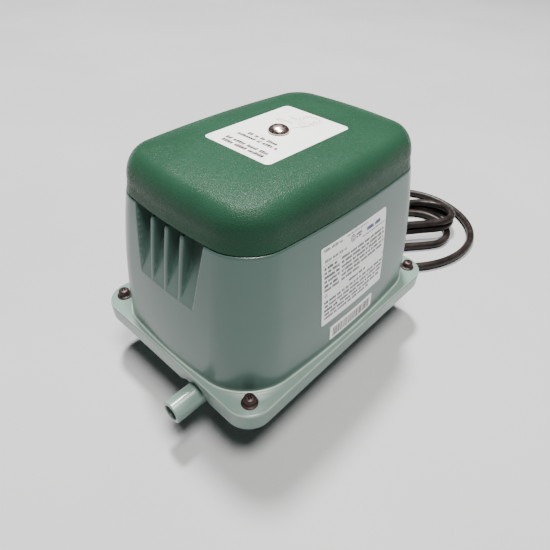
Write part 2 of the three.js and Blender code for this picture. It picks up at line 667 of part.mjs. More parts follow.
add('tank', geometryOf(tank()), FINISH.housing);
add('outlet_nozzle', geometryOf(nozzle()), FINISH.housing);
add('tank_gasket', geometryOf(gasket()), FINISH.rubber);
add('chamber_lid', geometryOf(chamberLid()), FINISH.zinc);
four(SCREW_X, SCREW_Y).forEach(([x, y], i) =>
  add(`housing_screw_${i + 1}`, geometryOf(housingScrew(x, y)), FINISH.darkScrew));
four(FOOT_X, FOOT_Y).forEach(([x, y], i) => {
  add(`rubber_foot_${i + 1}`, geometryOf(foot(x, y)), FINISH.rubber);
  add(`foot_screw_${i + 1}`, geometryOf(footScrew(x, y)), FINISH.zinc);
});
four(MOUNT_X, MOUNT_Y).forEach(([x, y], i) =>
  add(`vibration_mount_${i + 1}`, geometryOf(vibrationMount(x, y)), FINISH.rubber));

add('magnet_frame', geometryOf(magnetFrame()), FINISH.zinc);
add('drive_rod', geometryOf(driveRod()), FINISH.steel);
add('terminal_block', geometryOf(terminalBlock()), FINISH.plastic);
add('protector_switch', geometryOf(protectorSwitch()), FINISH.plastic);
for (const [side, end] of [[-1, 'front'], [1, 'rear']]) {
  add(`magnet_core_${end}`, geometryOf(core(side)), FINISH.iron);
  add(`magnet_coil_${end}`, geometryOf(coil(side)), FINISH.copper);
}
for (const [side, end] of [[-1, 'outlet_end'], [1, 'cord_end']]) {
  add(`rod_magnet_${end}`, geometryOf(rodMagnet(side)), FINISH.magnet);
  add(`diaphragm_${end}`, geometryOf(diaphragm(side)), FINISH.rubber);
  add(`clamp_disc_${end}`, geometryOf(clampDisc(side)), FINISH.zinc);
  add(`rod_nut_${end}`, geometryOf(rodNut(side)), FINISH.zinc);
  add(`head_casing_${end}`, geometryOf(headCasing(side)), FINISH.plastic);
  add(`head_cover_${end}`, geometryOf(headCover(side)), FINISH.plastic);
  add(`suction_flap_${end}`, geometryOf(flap(side, PUMP.port, 60.8)), FINISH.rubber);
  add(`discharge_flap_${end}`, geometryOf(flap(side, -PUMP.port, 65.3)), FINISH.rubber);
  add(`outlet_hose_${end}`, geometryOf(outletHose(side)), FINISH.rubber);
}

add('cord_gland', geometryOf(gland()), FINISH.rubber);
add('cord', finished(cord()), FINISH.cord);
add('plug', geometryOf(plug()), FINISH.plastic);

export default pump;
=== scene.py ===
"""Looks of a linear diaphragm air pump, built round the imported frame.

Every piece is made in millimetres of the CAD frame and scaled to metres as it becomes a mesh.
"""

import json
import math
import random

import bmesh
import bpy
from mathutils import Matrix, Vector


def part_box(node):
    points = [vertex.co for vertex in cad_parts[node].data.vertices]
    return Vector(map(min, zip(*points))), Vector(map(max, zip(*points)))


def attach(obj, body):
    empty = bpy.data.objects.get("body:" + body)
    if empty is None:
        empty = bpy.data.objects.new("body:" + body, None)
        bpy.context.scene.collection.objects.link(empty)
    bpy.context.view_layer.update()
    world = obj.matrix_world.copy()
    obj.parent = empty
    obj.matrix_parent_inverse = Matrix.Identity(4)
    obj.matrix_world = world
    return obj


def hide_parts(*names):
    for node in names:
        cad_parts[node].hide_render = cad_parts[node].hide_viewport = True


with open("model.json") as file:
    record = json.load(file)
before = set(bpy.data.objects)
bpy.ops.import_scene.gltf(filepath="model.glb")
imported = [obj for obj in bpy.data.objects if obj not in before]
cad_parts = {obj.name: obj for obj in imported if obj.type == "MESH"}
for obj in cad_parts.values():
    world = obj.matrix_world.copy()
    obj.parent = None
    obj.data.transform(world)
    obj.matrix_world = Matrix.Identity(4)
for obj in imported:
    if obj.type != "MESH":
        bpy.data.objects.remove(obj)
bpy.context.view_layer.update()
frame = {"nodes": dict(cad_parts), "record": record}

MM = 0.001
TAU = 2 * math.pi

# ---------------------------------------------------------------- sizes from the frame
def low(node):
    """Lowest corner of a CAD node, in millimetres."""
    return Vector(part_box(node)[0]) / MM


def high(node):
    return Vector(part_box(node)[1]) / MM


def middle(node):
    return (low(node) + high(node)) / 2


Z_SKIRT = low("upper_housing").z
Z_FLANGE = Z_SKIRT + 15
Z_PLATE = Z_FLANGE - 4
Z_COVER = low("filter_cover").z
Z_DECK = Z_COVER - 0.3
Z_PLATEAU = high("filter_cover").z
WALL = 3.5

# Outlines: half length, half width, corner radius and how far each side swells in its middle.
FLANGE = dict(a=117, b=88.4, r=19.8, bow=-0.5)
BODY_BASE = dict(a=106.5, b=76.7, r=33.9, bow=6.9)
BODY_TOP = dict(a=94.4, b=65.7, r=25.4, bow=5.3)
BODY_BULGE = 1.8
COVER = dict(a=94, b=65.3, r=25.1, bow=5.3)
COVER_LEAN = 1.4
COVER_FILLET = 14

# The sunk intake in each short wall: its foot and its depth at the deck, its half width at the foot
# and at the deck, and the rounding and slope of its side walls.
VENT_LOW, VENT_DEPTH = 114, 13
VENT_HALF = (28.3, 34.4)
VENT_EDGE, VENT_SLOPE = 0.9, 9

# The three upright fins in each intake. Their section is a rounded crest with steep sides, and near
# the deck they curve back and end.
FIN_PLACES = (-1, 0, 1)
FIN_PITCH = 14.75
FIN_ROUND, FIN_CROWN, FIN_SQUARE, FIN_SLOPE = 1.5, 1.3, 3.2, 14
FIN_SUNK = 0.25
FIN_CURVE_AT, FIN_CURVE_RUN, FIN_CURVE_DROP = 4.6, 3.2, 3.0
FIN_END, FIN_END_SLOPE = 1.4, 16

BOLT_R = 7.7
LABEL_HOLE_R = 6.3

# A diaphragm's web: the radii of its clamped rim, crest and hub, how far out along X each one
# stands, its thickness, and half the gap where rim and hub part.
RIM_R, CREST_R, HUB_R = 31, 25, 18
RIM_OUT, CREST_OUT, HUB_OUT = 46.9, 50.6, 48.7
WEB_THICK, WEB_PART = 2.55, 0.2

NOZZLE = middle("outlet_nozzle")
GLAND_Y, GLAND_Z = 30, 75
CORD_R = 4.25


def mix(a, b, t):
    return a + (b - a) * t


def smooth_min(a, b, k):
    h = max(k - abs(a - b), 0) / k
    return min(a, b) - h * h * k / 4


# ---------------------------------------------------------------- mesh helpers
SHARP = 35  # edges that turn by more degrees than this are creased


def piece(name, shape, body, slot, replaces=(), sharp=SHARP, material=None):
    """A mesh, or a bmesh in millimetres, as a piece: in its material and riding on its CAD body."""
    mesh = to_mesh(name, shape, sharp) if isinstance(shape, bmesh.types.BMesh) else shape
    obj = bpy.data.objects.new(name, mesh)
    bpy.context.scene.collection.objects.link(obj)
    mesh.materials.clear()
    mesh.materials.append(material or MATERIALS[slot])
    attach(obj, body)
    if replaces:
        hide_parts(*replaces)
    return obj


def to_mesh(name, bm, sharp=SHARP):
    """A bmesh in millimetres as a smooth-shaded mesh in metres, creased above the angle."""
    bmesh.ops.scale(bm, vec=(MM, MM, MM), verts=bm.verts)
    bmesh.ops.recalc_face_normals(bm, faces=bm.faces)
    mesh = bpy.data.meshes.new(name)
    bm.to_mesh(mesh)
    bm.free()
    mesh.shade_smooth()
    mesh.set_sharp_from_angle(angle=math.radians(sharp))
    return mesh


def loft(rings, bm=None, closed=False):
    """Rings of equal count joined by quads; a ring of one point is a pole."""
    bm = bm or bmesh.new()
    made = [[bm.verts.new(p) for p in ring] for ring in rings]
    for first, second in zip(made, made[1:] + (made[:1] if closed else [])):
        count = max(len(first), len(second))
        for i in range(count):
            j = (i + 1) % count
            if len(first) == 1:
                bm.faces.new((first[0], second[i], second[j]))
            elif len(second) == 1:
                bm.faces.new((first[i], second[0], first[j]))
            else:
                bm.faces.new((first[i], second[i], second[j], first[j]))
    return bm


def turned(profile, at=(0, 0, 0), axis="z", steps=48, bm=None):
    """A turned solid from (radius, height) pairs; radius 0 makes a pole."""
    at = Vector(at)

    def place(r, h, angle):
        c, s = r * math.cos(angle), r * math.sin(angle)
        return at + (Vector((c, s, h)) if axis == "z" else Vector((h, c, s)))

    rings = []
    for r, h in profile:
        count = 1 if r == 0 else steps
        rings.append([place(r, h, TAU * i / steps) for i in range(count)])
    poles = profile[0][0] == 0 and profile[-1][0] == 0
    return loft(rings, bm, closed=not poles)


def rod_shape(radius, start, end, at=(0, 0, 0), axis="z", steps=48, bm=None):
    """A plain round rod, used to cut holes."""
    return turned([(0, start), (radius, start), (radius, end), (0, end)], at, axis, steps, bm)


def rounded_profile(points, radii, steps=5):
    """A profile polygon with each corner replaced by an arc of its radius (0 keeps it sharp)."""
    out = []
    last = len(points) - 1
    for i, (p, r) in enumerate(zip(points, radii)):
        if r == 0 or i in (0, last):
            out.append(tuple(p))
            continue
        p, before, after = Vector(p), Vector(points[i - 1]), Vector(points[i + 1])
        to_before, to_after = (before - p).normalized(), (after - p).normalized()
        for k in range(steps + 1):
            t = k / steps
            a, b = p + to_before * r, p + to_after * r
            out.append(tuple((1 - t) ** 2 * a + 2 * t * (1 - t) * p + t * t * b))
    return out


def block(bm, low_corner, high_corner, bevel):
    """A box between two corners, with its edges rounded."""
    made = bmesh.ops.create_cube(bm, size=1)["verts"]
    size = Vector(high_corner) - Vector(low_corner)
    centre = (Vector(high_corner) + Vector(low_corner)) / 2
    bmesh.ops.scale(bm, vec=size, verts=made)
    bmesh.ops.translate(bm, vec=centre, verts=made)
    edges = list({e for v in made for e in v.link_edges})
    bmesh.ops.bevel(bm, geom=edges, offset=bevel, segments=2, affect="EDGES", profile=0.5)


def combined(mesh, tool_bm, operation):
    """The mesh with another solid cut from it or joined to it."""
    holder = bpy.data.objects.new("holder", mesh)
    tool = bpy.data.objects.new("tool", to_mesh("tool", tool_bm))
    for obj in (holder, tool):
        bpy.context.scene.collection.objects.link(obj)
    modifier = holder.modifiers.new("cut", "BOOLEAN")
    modifier.operation = operation
    modifier.object = tool
    modifier.solver = "MANIFOLD"
    bpy.context.view_layer.update()
    graph = bpy.context.evaluated_depsgraph_get()
    result = bpy.data.meshes.new_from_object(holder.evaluated_get(graph))
    bpy.data.objects.remove(holder)
    bpy.data.objects.remove(tool)
    result.shade_smooth()
    result.set_sharp_from_angle(angle=math.radians(SHARP))
    return result


# ---------------------------------------------------------------- outlines
class Columns:
    """The vertical columns of a rounded box: short sides, corners and long sides, anticlockwise."""

    def __init__(self, short, long_steps, corner_steps, reach=37.0, spread=6):
        self.reach = reach
        ends = [k / spread for k in range(1, spread + 1)]
        side = (
            [("ext", -1, f) for f in reversed(ends)]
            + [("abs", 0, y) for y in short]
            + [("ext", 1, f) for f in ends]
        )
        mirror = [(kind, -sign, value if kind == "ext" else -value) for kind, sign, value in side]
        along = [2 * k / long_steps - 1 for k in range(long_steps + 1)]
        arc = [k / corner_steps for k in range(1, corner_steps)]
        self.list = []
        for quarter in range(4):
            if quarter in (0, 2):
                self.list += [(quarter, *c) for c in (side if quarter == 0 else mirror)]
            else:
                order = reversed(along) if quarter == 1 else along
                self.list += [(quarter, "along", 0, t) for t in order]
            self.list += [(quarter, "arc", 0, t) for t in arc]

    def plain(self, column, a, b, r):
        quarter, kind, sign, value = column
        if kind == "arc":
            angle = (quarter + value) * math.pi / 2
            sx, sy = ((1, 1), (-1, 1), (-1, -1), (1, -1))[quarter]
            return sx * (a - r) + r * math.cos(angle), sy * (b - r) + r * math.sin(angle)
        if kind == "along":
            return value * (a - r), b if quarter == 1 else -b
        limit = b - r
        y = value if kind == "abs" else sign * mix(self.reach, limit, value)
        return (a if quarter == 0 else -a), y

    def ring(self, shape, inset, z, depth=None):
        """One level: the outline pulled in by inset, each short side pushed in by depth(y, z)."""
        a, b = shape["a"] - inset, shape["b"] - inset
        r, bow = max(shape["r"] - inset, 4), shape["bow"]
        points = []
        for column in self.list:
            x, y = self.plain(column, a, b, r)
            px = x + bow * (1 - (y / b) ** 2) * x / a
            py = y + bow * (1 - (x / a) ** 2) * y / b
            if depth and column[1] in ("abs", "ext"):
                px -= math.copysign(depth(y, z), px)
            points.append(Vector((px, py, z)))
        return points


def toward(ring, other, t):
    return [p.lerp(q, t) for p, q in zip(ring, other)]


def capped(ring, shares=(0.92, 0.75, 0.5, 0.25)):
    """Shrinking copies of a level ring and its centre, for a flat end."""
    z = ring[0].z
    rings = [[Vector((p.x * s, p.y * s, z)) for p in ring] for s in shares]
    return rings + [[Vector((0, 0, z))]]


def body_shape(z):
    """The wall's outline at a height: it leans in towards the deck and bulges a little between."""
    t = (z - Z_FLANGE) / (Z_DECK - Z_FLANGE)
    bulge = BODY_BULGE * 4 * max(t * (1 - t), 0)
    shape = {key: mix(BODY_BASE[key], BODY_TOP[key], t) for key in BODY_BASE}
    shape["a"] += bulge
    shape["b"] += bulge
    return shape


def face_x(y, z):
    """Where the short wall's face is."""
    shape = body_shape(z)
    return shape["a"] + shape["bow"] * (1 - (y / shape["b"]) ** 2)


def face_y(x, z):
    """Where the long wall's face is."""
    shape = body_shape(z)
    return shape["b"] + shape["bow"] * (1 - (x / shape["a"]) ** 2)


# ---------------------------------------------------------------- camera
CAMERA_AT = Vector((-221.7, -199.1, 316.0))
CAMERA_AZIMUTH, CAMERA_ELEVATION, CAMERA_ROLL = -48.37, 40.72, 2.31
CAMERA_LENS, CAMERA_SENSOR, CAMERA_SHIFT = 29.05, 36, 0.0055


def place_camera():
    azimuth, elevation, roll = map(math.radians, (CAMERA_AZIMUTH, CAMERA_ELEVATION, CAMERA_ROLL))
    back = Vector((
        math.sin(azimuth) * math.cos(elevation),
        -math.cos(azimuth) * math.cos(elevation),
        math.sin(elevation),
    ))
    right = Vector((0, 0, 1)).cross(back).normalized()
    up = back.cross(right)
    rolled_right = right * math.cos(roll) + up * math.sin(roll)
    rolled_up = up * math.cos(roll) - right * math.sin(roll)
    data = bpy.data.cameras.new("camera")
    data.lens = CAMERA_LENS
    data.sensor_width = CAMERA_SENSOR
    data.shift_y = CAMERA_SHIFT
    camera = bpy.data.objects.new("camera", data)
    turn = Matrix((rolled_right, rolled_up, back)).transposed().to_4x4()
    camera.matrix_world = Matrix.Translation(CAMERA_AT * MM) @ turn
    bpy.context.scene.collection.objects.link(camera)
    bpy.context.scene.camera = camera


# ---------------------------------------------------------------- materials
class Nodes:
    """A short way to write a material's nodes."""

    def __init__(self, name, base, roughness, metallic=0.0, specular=0.5, coat=0.0):
        self.material = bpy.data.materials.new(name)
        self.material.use_nodes = True
        self.tree = self.material.node_tree
        self.shader = self.tree.nodes["Principled BSDF"]
        self.set("Base Color", (*base, 1))
        self.set("Roughness", roughness)
        self.set("Metallic", metallic)
        self.set("Specular IOR Level", specular)
        self.set("Coat Weight", coat)
        self.where = self.node("ShaderNodeTexCoord").outputs["Object"]

    def set(self, socket, value):
        self.shader.inputs[socket].default_value = value

    def node(self, kind, **settings):
        made = self.tree.nodes.new(kind)
        for key, value in settings.items():
            setattr(made, key, value)
        return made

    def link(self, out, into):
        self.tree.links.new(out, into)

    def feed(self, made, values):
        for key, value in values.items():
            if isinstance(value, bpy.types.NodeSocket):
                self.link(value, made.inputs[key])
            else:
                made.inputs[key].default_value = value

    def noise(self, scale, detail):
        made = self.node("ShaderNodeTexNoise")
        self.feed(made, {"Vector": self.where, "Scale": scale, "Detail": detail})
        return made.outputs["Fac"]

    def cells(self, scale):
        made = self.node("ShaderNodeTexVoronoi", feature="F1")
        self.feed(made, {"Vector": self.where, "Scale": scale})
        return made.outputs["Distance"]

    def math(self, operation, a, b=0.0, c=0.0):
        made = self.node("ShaderNodeMath", operation=operation)
        self.feed(made, {0: a, 1: b, 2: c})
        return made.outputs[0]

    def ramp(self, value, low_at, high_at, low_to=0.0, high_to=1.0):
        made = self.node("ShaderNodeMapRange", interpolation_type="SMOOTHSTEP")
        self.feed(made, {
            "Value": value, "From Min": low_at, "From Max": high_at,
            "To Min": low_to, "To Max": high_to,
        })
        return made.outputs["Result"]

    def mottle(self, scale, detail, low_at=0.3, high_at=0.7, low_to=0.0, high_to=1.0):
        """Noise stretched between two levels, for patches and wear."""
        return self.ramp(self.noise(scale, detail), low_at, high_at, low_to, high_to)

    def blend(self, factor, first, second):
        """A mix of two colours, each a plain colour or another node's output."""
        made = self.node("ShaderNodeMix", data_type="RGBA")
        sides = [v if isinstance(v, bpy.types.NodeSocket) else (*v, 1) for v in (first, second)]
        self.feed(made, {0: factor, 6: sides[0], 7: sides[1]})
        return made.outputs[2]

    def colour(self, factor, first, second):
        self.link(self.blend(factor, first, second), self.shader.inputs["Base Color"])

    def rough(self, scale, detail, lowest, highest):
        """Roughness that wanders between two values."""
        wander = self.mottle(scale, detail, low_to=lowest, high_to=highest)
        self.link(wander, self.shader.inputs["Roughness"])

    def bump(self, height, strength, distance):
        made = self.node("ShaderNodeBump")
        self.feed(made, {"Height": height, "Strength": strength, "Distance": distance})
        self.link(made.outputs[0], self.shader.inputs["Normal"])

    def along(self, axis):
        made = self.node("ShaderNodeSeparateXYZ")
        self.link(self.where, made.inputs[0])
        return made.outputs[axis]

    def stripes(self, axis, pitch):
        """A sine wave along an axis, its pitch in metres."""
        return self.math("SINE", self.math("MULTIPLY", self.along(axis), TAU / pitch))


# Painted highlights: paler lines painted along the flange's rim and along the bead at the foot of
# the wall, as heights from the flange's top. Over the bead the wall takes a darker copy of the
# paint (painted shade), and the flange and all below keep a paler one (painted light).
HIGHLIGHT_BANDS = ((-1.1, -0.35), (0.2, 0.9))
HIGHLIGHT_FADE = 0.2
# Where the painted shade on the wall begins over the flange's top, and how far it fades in.
WALL_SHADE_AT, WALL_SHADE_FADE = 0.9, 3.6


def painted_casting():
    """Semi-gloss pale grey-green paint over a slightly uneven casting, with painted shade on the
    wall and painted highlights on the rim and bead.
    """
    n = Nodes("housing_paint", (0.15, 0.21, 0.19), 0.30, specular=0.45, coat=0.22)
    n.set("Coat Roughness", 0.14)
    height = n.along("Z")

    def above(level, fade):
        return n.ramp(height, (Z_FLANGE + level) * MM, (Z_FLANGE + level + fade) * MM)

    tone = n.mottle(14, 3)
    # Lit and shaded copies of one paint: the darker wall tone is painted shade, and the paler base
    # tone is painted light on the flange and everything below it.
    wall = n.blend(tone, (0.062, 0.116, 0.099), (0.069, 0.126, 0.108))
    base = n.blend(tone, (0.150, 0.226, 0.196), (0.162, 0.240, 0.208))
    painted = n.blend(above(WALL_SHADE_AT, WALL_SHADE_FADE), base, wall)
    # Each band is a painted highlight: a paler line where the rim and the bead catch the light.
    bands = [
        n.math("MULTIPLY", above(first, HIGHLIGHT_FADE), n.math("SUBTRACT", 1.0, above(last, HIGHLIGHT_FADE)))
        for first, last in HIGHLIGHT_BANDS
    ]
    # Painted highlight: the bands, made patchy, mix the paint towards the pale colour below.
    edges = n.math("MULTIPLY", n.math("ADD", *bands), n.mottle(60, 3, 0.25, 0.6, 0.55, 0.95))
    n.colour(edges, painted, (0.36, 0.44, 0.39))
    n.rough(30, 0, 0.28, 0.34)
    n.bump(n.noise(45, 0), 0.04, 0.001)
    return n.material


def moulded_green():
    """Dark green plastic with a fine leather grain."""
    n = Nodes("cover_green", (0.019, 0.068, 0.038), 0.34, specular=0.11)
    n.colour(n.mottle(22, 3), (0.0170, 0.056, 0.032), (0.0205, 0.065, 0.038))
    n.rough(240, 3, 0.25, 0.33)
    pebbles = n.math("MULTIPLY", n.cells(1700), 0.7)
    n.bump(n.math("ADD", pebbles, n.math("MULTIPLY", n.noise(1500, 3), 0.6)), 0.7, 0.00032)
    return n.material


def bare_metal(name, base, roughness, brush=600, strength=0.06):
    """Metal with a faint finish of the given scale."""
    n = Nodes(name, base, roughness, metallic=1.0)
    n.rough(brush, 3, roughness * 0.8, roughness * 1.3)
    n.bump(n.noise(brush * 1.4, 2), strength, 0.0001)
    return n.material


def dark_plated():
    """The bronzed dark finish of the flange screws."""
    n = Nodes("dark_screw", (0.035, 0.018, 0.017), 0.4, metallic=0.3)
    n.colour(n.mottle(700, 3, 0.35, 0.7), (0.026, 0.013, 0.013), (0.055, 0.028, 0.026))
    n.rough(500, 3, 0.34, 0.5)
    n.bump(n.noise(1500, 2), 0.12, 0.0001)
    return n.material


def matt_black(name, base, roughness):
    """Rubber or ferrite: near black, with a fine tooth."""
    n = Nodes(name, base, roughness, specular=0.35)
    n.colour(n.mottle(120, 4, 0.3, 0.75), base, tuple(c * 1.7 for c in base))
    n.bump(n.noise(1400, 3), 0.2, 0.0002)
    return n.material


def black_plastic():
    """Moulded plastic with a fine cell texture."""
    base = (0.016, 0.016, 0.018)
    n = Nodes("black_plastic", base, 0.48, specular=0.45)
    n.colour(n.mottle(60, 3), base, tuple(c * 1.25 for c in base))
    n.rough(300, 2, 0.41, 0.57)
    n.bump(n.cells(1100), 0.16, 0.0002)
    return n.material


def cord_jacket():
    """Brown-black PVC with a slight bloom and long soft ripples."""
    n = Nodes("cord_jacket", (0.015, 0.011, 0.010), 0.38, specular=0.25)
    n.colour(n.mottle(70, 3, 0.35, 0.7), (0.010, 0.0075, 0.007), (0.026, 0.019, 0.017))
    n.rough(180, 3, 0.3, 0.47)
    n.bump(n.noise(420, 3), 0.14, 0.0003)
    return n.material


def foam():
    """Open-cell filter foam."""
    n = Nodes("filter_foam", (0.055, 0.056, 0.058), 0.95, specular=0.15)
    cells = n.cells(620)
    n.colour(n.ramp(cells, 0.1, 0.6), (0.02, 0.02, 0.021), (0.095, 0.097, 0.10))
    n.bump(cells, 0.9, 0.0012)
    return n.material


def laminated():
    """Stacked sheets seen edge on: fine level lines."""
    n = Nodes("laminated_iron", (0.12, 0.125, 0.135), 0.45, metallic=0.8)
    sheets = n.stripes("Z", 0.0007)
    n.colour(n.ramp(sheets, -0.6, 0.8), (0.05, 0.052, 0.056), (0.20, 0.205, 0.215))
    n.bump(sheets, 0.3, 0.0001)
    return n.material


def winding():
    """Copper-brown tape over the turns of a coil."""
    n = Nodes("winding_tape", (0.22, 0.085, 0.02), 0.42, metallic=0.25)
    turns = n.stripes("Y", 0.0009)
    n.colour(n.ramp(turns, -0.5, 0.8), (0.12, 0.045, 0.012), (0.34, 0.14, 0.035))
    n.bump(turns, 0.4, 0.0002)
    return n.material


def label_film():
    """White label stock, a little uneven."""
    n = Nodes("label_film", (0.92, 0.92, 0.93), 0.38)
    n.rough(200, 2, 0.36, 0.5)
    n.bump(n.noise(160, 2), 0.05, 0.0004)
    return n.material


def ink(name, base):
    """Printing ink, a little uneven in its cover."""
    n = Nodes(name, base, 0.45)
    n.colour(n.mottle(900, 3, 0.35, 0.7), base, tuple(c * 1.5 + 0.01 for c in base))
    n.bump(n.noise(1500, 2), 0.08, 0.0001)
    return n.material


MATERIALS = {
    "housing_paint": painted_casting(),
    "cover_green": moulded_green(),
    "bright_steel": bare_metal("bright_steel", (0.72, 0.55, 0.50), 0.24),
    "dark_screw": dark_plated(),
    "label_film": label_film(),
    "black_rubber": matt_black("black_rubber", (0.018, 0.018, 0.019), 0.72),
    "filter_foam": foam(),
    "zinc_plate": bare_metal("zinc_plate", (0.50, 0.51, 0.53), 0.38, 900, 0.12),
    "laminated_iron": laminated(),
    "winding_tape": winding(),
    "magnet_ferrite": matt_black("magnet_ferrite", (0.03, 0.031, 0.033), 0.6),
    "black_plastic": black_plastic(),
    "cord_jacket": cord_jacket(),
}

# ---------------------------------------------------------------- cord, plug and strain relief
PLUG_AT = Vector((-15, 110, 13.5))
LIES = 4.6  # height of the cord's middle where it lies on the surface
CORD_ROUTE = [
    # Out of the gland and down to the surface.
    (116, GLAND_Y, GLAND_Z), (140, GLAND_Y, GLAND_Z), (162, 31.5, 72.5), (186, 37, 63.5),
    (210, 45.5, 50), (234, 54.5, 34.5), (259, 61, 19), (284, 61, 8), (306, 49, LIES),
    (321, 28, LIES),
    # The outer loop.
    (327, 3, LIES), (323.5, -22, LIES), (313, -45, LIES), (296, -64, LIES), (273, -77, LIES),
    (247, -81.5, LIES), (221, -79, LIES), (196, -70, LIES), (173, -54.5, LIES), (155, -33, LIES),
    (145.5, -8, LIES), (146, 17, LIES), (158, 38, LIES), (178, 47, LIES), (200, 44, LIES),
    (221, 37, LIES),
    # The inner loop, lying on the surface.
    (245, 26, LIES), (272, 6.5, LIES), (281.5, -9.5, LIES), (281.5, -28.5, LIES),
    (272, -44.5, LIES), (256, -53.5, LIES), (237, -53.5, LIES), (221, -44.5, LIES),
    (206, -33, LIES),
    # Over its start, into the first turn of the bundle.
    (179.5, -12, LIES), (169, 3.5, 4.8), (166.5, 22, 8), (172.5, 40, 13), (186.5, 53, 13),
    (204.5, 58.5, 7.5), (223, 55, LIES), (248.5, 37, LIES), (268, 22.5, LIES), (291, 3.5, LIES),
    (297.5, -11.5, 5.2), (295.5, -27.5, 8), (286, -40.5, 11.6), (271, -47, 13.7),
    (254.5, -45, 13.8), (233, -30, 13.4), (214, -15.5, 13), (193, 0.5, 13), (185, 13.5, 13.2),
    (184.5, 28.5, 13.4), (191, 42.5, 13.6), (203, 51.5, 13.8), (218, 54, 14), (232.5, 49, 13.8),
    # The second turn, on top of the first.
    (249.5, 35, 13.4), (268.5, 20, 13.4), (290.5, 3, 13.5), (297, -12, 14.2), (295, -28, 17.1),
    (285, -40.5, 20.7), (270.5, -47, 22.8), (254.5, -45, 22.8), (233, -30, 22.4),
    (214, -15.5, 22.2),
    # Over the loops and away behind the pump to the plug.
    (196, -1.5, 22.2), (178, 13, 22), (163, 26, 19.5), (148.5, 42.5, 14.5), (138, 61, 8.5),
    (129, 81, 5), (115, 98, LIES), (94, 108, LIES), (70, 111, LIES), (45, 110.5, 5),
    (24, 110, 10), (9, 110, 13.2), (-2, 110, 13.5),
]


def centripetal(points, step=2.2):
    """A Catmull-Rom curve through the points, sampled about every step millimetres."""
    points = [Vector(p) for p in points]
    ends = [points[0] * 2 - points[1]] + points + [points[-1] * 2 - points[-2]]
    line = []
    for p0, p1, p2, p3 in zip(ends, ends[1:], ends[2:], ends[3:]):
        t1 = math.sqrt((p1 - p0).length)
        t2 = t1 + math.sqrt((p2 - p1).length)
        t3 = t2 + math.sqrt((p3 - p2).length)
        count = max(int((p2 - p1).length / step), 2)
        for k in range(count):
            t = mix(t1, t2, k / count)
            a1 = p0.lerp(p1, t / t1)
            a2 = p1.lerp(p2, (t - t1) / (t2 - t1))
            a3 = p2.lerp(p3, (t - t2) / (t3 - t2))
            b1 = a1.lerp(a2, t / t2)
            b2 = a2.lerp(a3, (t - t1) / (t3 - t1))
            line.append(b1.lerp(b2, (t - t1) / (t2 - t1)))
    return line + [points[-1]]


def tube_along(line, radius, sides=16):
    """A closed tube whose section is carried along the line without twisting."""
    rings = []
    side = (line[1] - line[0]).orthogonal().normalized()
    for i, p in enumerate(line):
        ahead = (line[min(i + 1, len(line) - 1)] - line[max(i - 1, 0)]).normalized()
        side = (side - ahead * side.dot(ahead)).normalized()
        up = ahead.cross(side)
        rings.append([
            p + (side * math.cos(TAU * k / sides) + up * math.sin(TAU * k / sides)) * radius
            for k in range(sides)
        ])
    return loft([[line[0]]] + rings + [[line[-1]]])


def make_plug():
    """A moulded grounded plug: a tapered grip, a little flattened, two blades and an earth pin."""
    x, y, z = PLUG_AT
    grip = rounded_profile(
        [(0, -26), (12.4, -26), (13, -8), (10.2, 2), (7.4, 6), (6.9, 6.4), (6.6, 18), (4.6, 19),
         (4.6, 12), (0, 12)],
        [0, 1.6, 5, 3, 0.4, 0.3, 0.8, 0, 0, 0],
    )
    bm = turned(grip, (x, y, z), "x", 40)
    for v in bm.verts:
        squeeze = min(max((v.co.x - (x - 8)) / 10, 0), 1)
        v.co.y = y + (v.co.y - y) * (1 - 0.06 * squeeze)
    plug = piece("plug_body", bm, "housing", "black_plastic", ("plug",))
    blades = bmesh.new()
    tip, root, spacing, half = -43, -25.5, 12.7, 0.8
    for across in (y - spacing / 2, y + spacing / 2):
        block(blades, (x + tip, across - half, z - 0.2), (x + root, across + half, z + 6.2), 0.5)
    earth = [(0, -46), (1.6, -45.4), (2.4, -43.6), (2.4, root), (0, root)]
    turned(earth, (x, y, z - 7), "x", 20, blades)
    pins = piece("plug_blades", blades, "housing", "bright_steel",
                 material=bare_metal("blade_brass", (0.62, 0.52, 0.34), 0.28))
    return plug, pins


def make_cord():
    line = centripetal(CORD_ROUTE)
    cord = piece("mains_cord", tube_along(line, CORD_R), "housing", "cord_jacket", ("cord",), 60)
    plug, pins = make_plug()


def make_gland():
    """The cord's strain relief: a collar on the wall and a ribbed tapering sleeve."""
    wall, bore, ribs = 113.9, CORD_R + 0.35, 5
    profile = [(bore, wall - 8), (7, wall - 8), (7, wall), (11, wall), (11, wall + 2.4),
               (9.8, wall + 3.4), (8.1, wall + 3.6)]
    start, end = wall + 4.2, high("cord_gland").x
    for k in range(ribs):
        a, b = mix(start, end - 1, k / ribs), mix(start, end - 1, (k + 1) / ribs)
        r = mix(7.9, 6.1, (k + 0.5) / ribs)
        profile += [(r - 1.1, a), (r - 1.1, a + 0.9), (r, a + 1.2), (r - 0.15, b - 0.25)]
    profile += [(5.6, end - 0.5), (CORD_R + 0.9, end), (bore, end)]
    bm = turned(profile, (0, GLAND_Y, GLAND_Z), "x", 40)
    piece("strain_relief", bm, "housing", "black_rubber", ("cord_gland",))


# ---------------------------------------------------------------- housing
def vent_floor(y, z):
    """Where the intake's leaning floor lies, from the wall at its foot to its full depth."""
    t = (z - VENT_LOW) / (Z_DECK - VENT_LOW)
    return mix(face_x(y, VENT_LOW), face_x(y, Z_DECK) - VENT_DEPTH, t)


